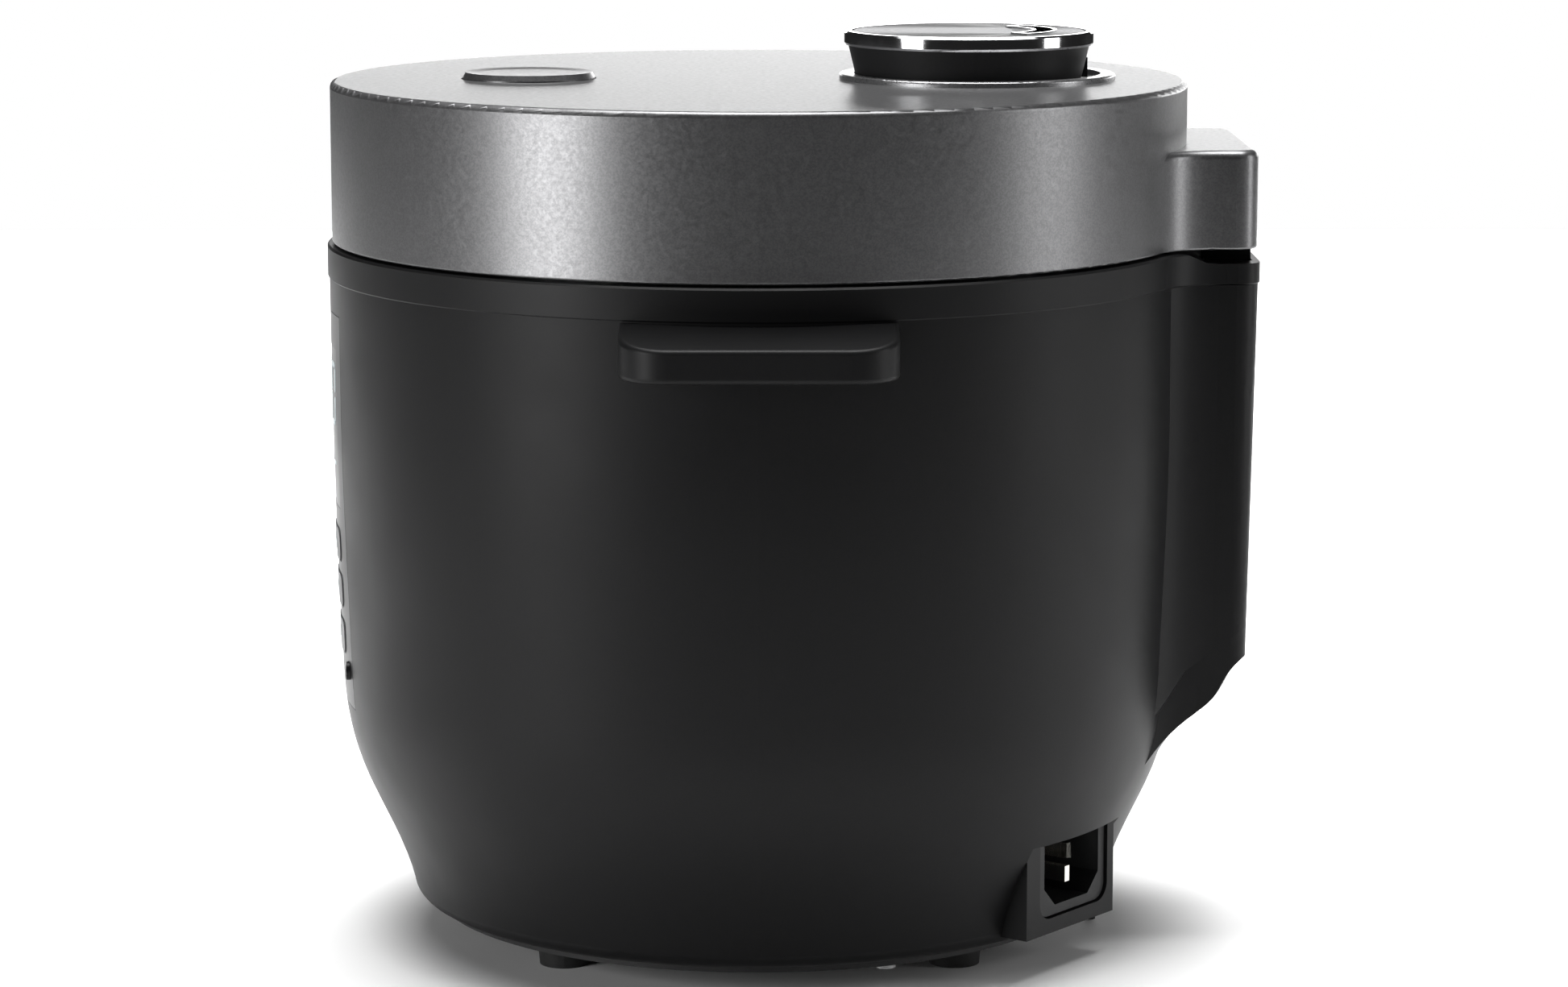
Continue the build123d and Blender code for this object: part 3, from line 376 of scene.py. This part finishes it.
# Pointed bars laid on a curved front. Each bar is (sideways, height, half length, half width, turn).
# A point at sideways s and height z goes to radius skin(z) + lift and to the angle s / radius from the front.
def barsOnSkin(name, bars, skin, look, finish):
    bars = np.array(bars, dtype=float)
    shoulder = look["shoulder"]
    along = bars[:, 2:3] * np.array([-1, -shoulder, shoulder, 1, shoulder, -shoulder])
    across = bars[:, 3:4] * np.array([0, -1, -1, 0, 1, 1])
    turn = bars[:, 4:5]
    s = bars[:, 0:1] + along * np.cos(turn) - across * np.sin(turn)
    z = bars[:, 1:2] + along * np.sin(turn) + across * np.cos(turn)
    layers = []
    for depth in (look["lift"], -look["sink"]):
        radius = skin(z) + depth
        angle = s / radius
        layers.append(np.stack([radius * np.sin(angle), potY - radius * np.cos(angle), z], axis=-1))
    points = np.concatenate(layers).reshape(-1, 3)
    ring = np.arange(6)
    front = np.arange(len(bars))[:, None] * 6 + ring
    back = front + len(bars) * 6
    onward = (ring + 1) % 6
    sides = np.stack([front, back, back[:, onward], front[:, onward]], axis=-1).reshape(-1, 4)
    mesh = bpy.data.meshes.new(name)
    mesh.from_pydata(points.tolist(), [], front.tolist() + back[:, ::-1].tolist() + sides.tolist())
    return pieceFrom(name, mesh, finish)


# The lit bars of one seven-bar digit: level bars one digit width long, upright bars half its height, which
# lean by the slant.
def digitBars(digit, middle, look):
    wide = look["digitWide"] / 2
    tall = look["digitTall"] / 2
    slant = look["slant"]
    places = [(0, tall, 0), (0, 0, 0), (0, -tall, 0),
              (-wide, tall / 2, 1), (wide, tall / 2, 1), (-wide, -tall / 2, 1), (wide, -tall / 2, 1)]
    bars = []
    for i in litBars[digit]:
        s, z, upright = places[i]
        half = (tall / 2 if upright else wide) * look["barShare"]
        turn = upright * (math.pi / 2 - slant)
        bars.append((middle + s + z * slant, look["digitHeight"] + z, half, look["barWide"] / 2, turn))
    return bars


backlit = mouldedPlastic("backlitMark", markLook)
glow = backlit.node_tree.nodes["Principled BSDF"]
glow.inputs["Emission Color"].default_value = markGlow["colour"]
glow.inputs["Emission Strength"].default_value = markGlow["strength"]

clockBars = []
digitStep = panelMarks["digitWide"] + panelMarks["digitGap"]
for digit, steps in panelMarks["clock"]:
    clockBars += digitBars(digit, steps * digitStep, panelMarks)
for side in (-1, 1):
    dotHeight = panelMarks["digitHeight"] + side * panelMarks["dotRise"]
    clockBars.append((0, dotHeight, panelMarks["dotSize"], panelMarks["dotSize"], 0))
for i in (-2, -1, 0, 1, 2):
    clockBars.append((i * panelMarks["statusStep"], panelMarks["statusHeight"], panelMarks["statusLong"],
                      panelMarks["statusWide"], 0))
clockFace = barsOnSkin("clockFace", clockBars, skinOf("panel_lens"), panelMarks, backlit)
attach(clockFace, "base")

longBar = panelMarks["keyBarLong"] / 2
thinBar = panelMarks["keyBarWide"] / 2
barGap = panelMarks["keyBarGap"]
lineGap = panelMarks["keyLineGap"]
chevronRise = panelMarks["chevronRise"]
keySigns = {
    1: [(0, 0, longBar, 0)],
    2: [(0, 0, longBar, 0), (0, 0, longBar, math.pi / 2)],
    3: [(-barGap, 0, longBar, math.pi / 2), (barGap, 0, longBar, math.pi / 2)],
    4: [(0, chevronRise, longBar * 0.8, 0.6), (0, -chevronRise, longBar * 0.8, -0.6)],
    5: [(0, lineGap, longBar, 0), (0, 0, longBar, 0), (0, -lineGap, longBar, 0)],
    6: [(0, 0, longBar * 0.9, math.pi / 4), (0, 0, longBar * 0.9, -math.pi / 4)],
}
for number, sign in keySigns.items():
    keyName = f"key_{number}"
    keyX, _, keyZ = np.mean(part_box(keyName), axis=0)
    placed = [(keyX + s, keyZ + z, half, thinBar, turn) for s, z, half, turn in sign]
    mark = barsOnSkin(f"keyMark{number}", placed, skinOf(keyName), panelMarks, backlit)
    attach(mark, keyName)
print("panel marks done")


# Round-wire springs stand for the plain ones in the frame.
springs = {
    "sensor_spring": {"joint": "sensor_press", "body": "base", "wire": 0.0006, "turns": 4},
    "button_spring": {"joint": "button_press", "body": "lid", "wire": 0.0005, "turns": 4},
}
springMesh = {"stepsPerTurn": 40, "wireSides": 12, "levelEnd": 0.09}


# Helix with level ends: angle = share of the wire * turns * full turn; height stays level over the first and
# last bit of the wire and rises evenly between. A circle of wire stands in the upright plane through the axis.
def coilOf(nodeName, look):
    low, high = (np.array(c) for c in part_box(nodeName))
    wire = look["wire"]
    sides = springMesh["wireSides"]
    levelEnd = springMesh["levelEnd"]
    centre = (low + high) / 2
    t = np.linspace(0, 1, look["turns"] * springMesh["stepsPerTurn"] + 1)[:, None]
    around = (np.arange(sides) / sides * fullTurn)[None, :]
    angle = t * look["turns"] * fullTurn
    rise = np.clip((t - levelEnd) / (1 - 2 * levelEnd), 0, 1)
    reach = (high[0] - low[0]) / 2 - wire + wire * np.cos(around)
    x = centre[0] + reach * np.cos(angle)
    y = centre[1] + reach * np.sin(angle)
    z = low[2] + wire + (high[2] - low[2] - 2 * wire) * rise + wire * np.sin(around)
    points = np.stack([x, y, z], axis=-1).reshape(-1, 3)
    circle = np.arange(sides)
    here = np.arange(len(t) - 1)[:, None] * sides + circle
    beside = np.arange(len(t) - 1)[:, None] * sides + (circle + 1) % sides
    quads = np.stack([here, here + sides, beside + sides, beside], axis=-1).reshape(-1, 4)
    ends = [circle.tolist(), (circle[::-1] + (len(t) - 1) * sides).tolist()]
    mesh = bpy.data.meshes.new(nodeName + "Coil")
    mesh.from_pydata(points.tolist(), [], quads.tolist() + ends)
    mesh.polygons.foreach_set("use_smooth", np.ones(len(mesh.polygons), dtype=bool))
    return pieceFrom(nodeName + "Coil", mesh, finishes["steel"])


for nodeName, look in springs.items():
    spring = coilOf(nodeName, look)
    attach(spring, look["body"])
    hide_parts(nodeName)
    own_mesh(spring)
print("springs done")


studio = {
    "floorSize": (2.3, 2.3),
    "floorMiddle": (-0.55, 0.0),
    "floorGrey": 0.8955,
    "floorMottle": 0.005,
    "floorPatch": 0.4,
    "floorRough": 0.76,
    "floorSwing": 0.04,
    "floorGloss": 0.1,
    "surround": 0.02,      # what the object sees round the lights
    "backdrop": 1.0,       # what the camera sees past the floor
}
lamps = {
    "key": {"place": (0.95, -1.35, 0.30), "aim": (0, 0, 0.16), "size": (0.60, 0.9), "power": 10.5,
            "spread": 140},
    "side": {"place": (0.28, 1.6, 0.45), "aim": (0, 0, 0.16), "size": (0.5, 1.0), "power": 4.6,
             "spread": 140},
    "back": {"place": (-1.9, 0.5, 0.37), "aim": (0, 0, 0.25), "size": (2.4, 0.40), "power": 7.5,
             "spread": 130},
    "top": {"place": (-0.85, 0.05, 2.2), "aim": (-0.85, 0.05, 0), "size": (2.6, 2.0), "power": 46,
            "spread": 75},
}


# Flat rectangle at height zero with a faint, slow change of gloss.
def floorPiece(look):
    wide, long = look["floorSize"]
    corners = np.array([(-1, -1, 0), (1, -1, 0), (1, 1, 0), (-1, 1, 0)]) * (wide / 2, long / 2, 0)
    corners = corners + (*look["floorMiddle"], 0)
    mesh = bpy.data.meshes.new("floor")
    mesh.from_pydata(corners.tolist(), [], [(0, 1, 2, 3)])
    mat, tree, shader, where = startFinish("paleFloor")
    slow = noiseOn(tree, where, look["floorPatch"], 2)
    paleGrey = (look["floorGrey"],) * 3
    tree.links.new(tint(tree, slow, paleGrey, look["floorMottle"]), shader.inputs["Base Color"])
    tree.links.new(spread(tree, slow, look["floorRough"], look["floorSwing"]), shader.inputs["Roughness"])
    shader.inputs["Specular IOR Level"].default_value = look["floorGloss"]
    return pieceFrom("floor", mesh, mat)


# Stands a lamp or camera at a place and turns it to look along a direction.
def standAt(name, data, place, sight):
    holder = bpy.data.objects.new(name, data)
    bpy.context.scene.collection.objects.link(holder)
    holder.location = place
    holder.rotation_euler = Vector(sight).to_track_quat("-Z", "Y").to_euler()
    return holder


# Rectangular soft light that faces its aim.
def softBox(name, look):
    lamp = bpy.data.lights.new(name, "AREA")
    lamp.shape = "RECTANGLE"
    lamp.size, lamp.size_y = look["size"]
    lamp.energy = look["power"]
    lamp.spread = math.radians(look["spread"])
    standAt(name, lamp, look["place"], np.array(look["aim"]) - look["place"])


floorPiece(studio)
for lampName, look in lamps.items():
    softBox(lampName + "Light", look)

world = bpy.data.worlds.new("studio")
bpy.context.scene.world = world
world.use_nodes = True
sky = world.node_tree
seen = sky.nodes.new("ShaderNodeLightPath")
strength = sky.nodes.new("ShaderNodeMapRange")
strength.inputs["To Min"].default_value = studio["surround"]
strength.inputs["To Max"].default_value = studio["backdrop"]
sky.links.new(seen.outputs["Is Camera Ray"], strength.inputs["Value"])
sky.nodes["Background"].inputs["Color"].default_value = (1, 1, 1, 1)
sky.links.new(strength.outputs["Result"], sky.nodes["Background"].inputs["Strength"])
bpy.context.scene.view_settings.view_transform = "Standard"
print("studio lit")


cameraLook = {
    "distance": 1.155,
    "height": lidTop + 0.08392,
    "down": 0.165066,      # radians below the horizon
    "turn": 0.005616,      # radians toward +Y
    "lens": 102.8076,
    "filmWide": 36.0,
    "nearest": 0.05,
    "farthest": 60,
}


# Camera on the +X side that looks toward -X, turned and pitched by the two angles.
def makeCamera(look):
    data = bpy.data.cameras.new("camera")
    data.sensor_width = look["filmWide"]
    data.lens = look["lens"]
    data.clip_start = look["nearest"]
    data.clip_end = look["farthest"]
    level = math.cos(look["down"])
    sight = (-math.cos(look["turn"]) * level, math.sin(look["turn"]) * level, -math.sin(look["down"]))
    return standAt("camera", data, (look["distance"], potY, look["height"]), sight)


bpy.context.scene.camera = makeCamera(cameraLook)
print("camera set")
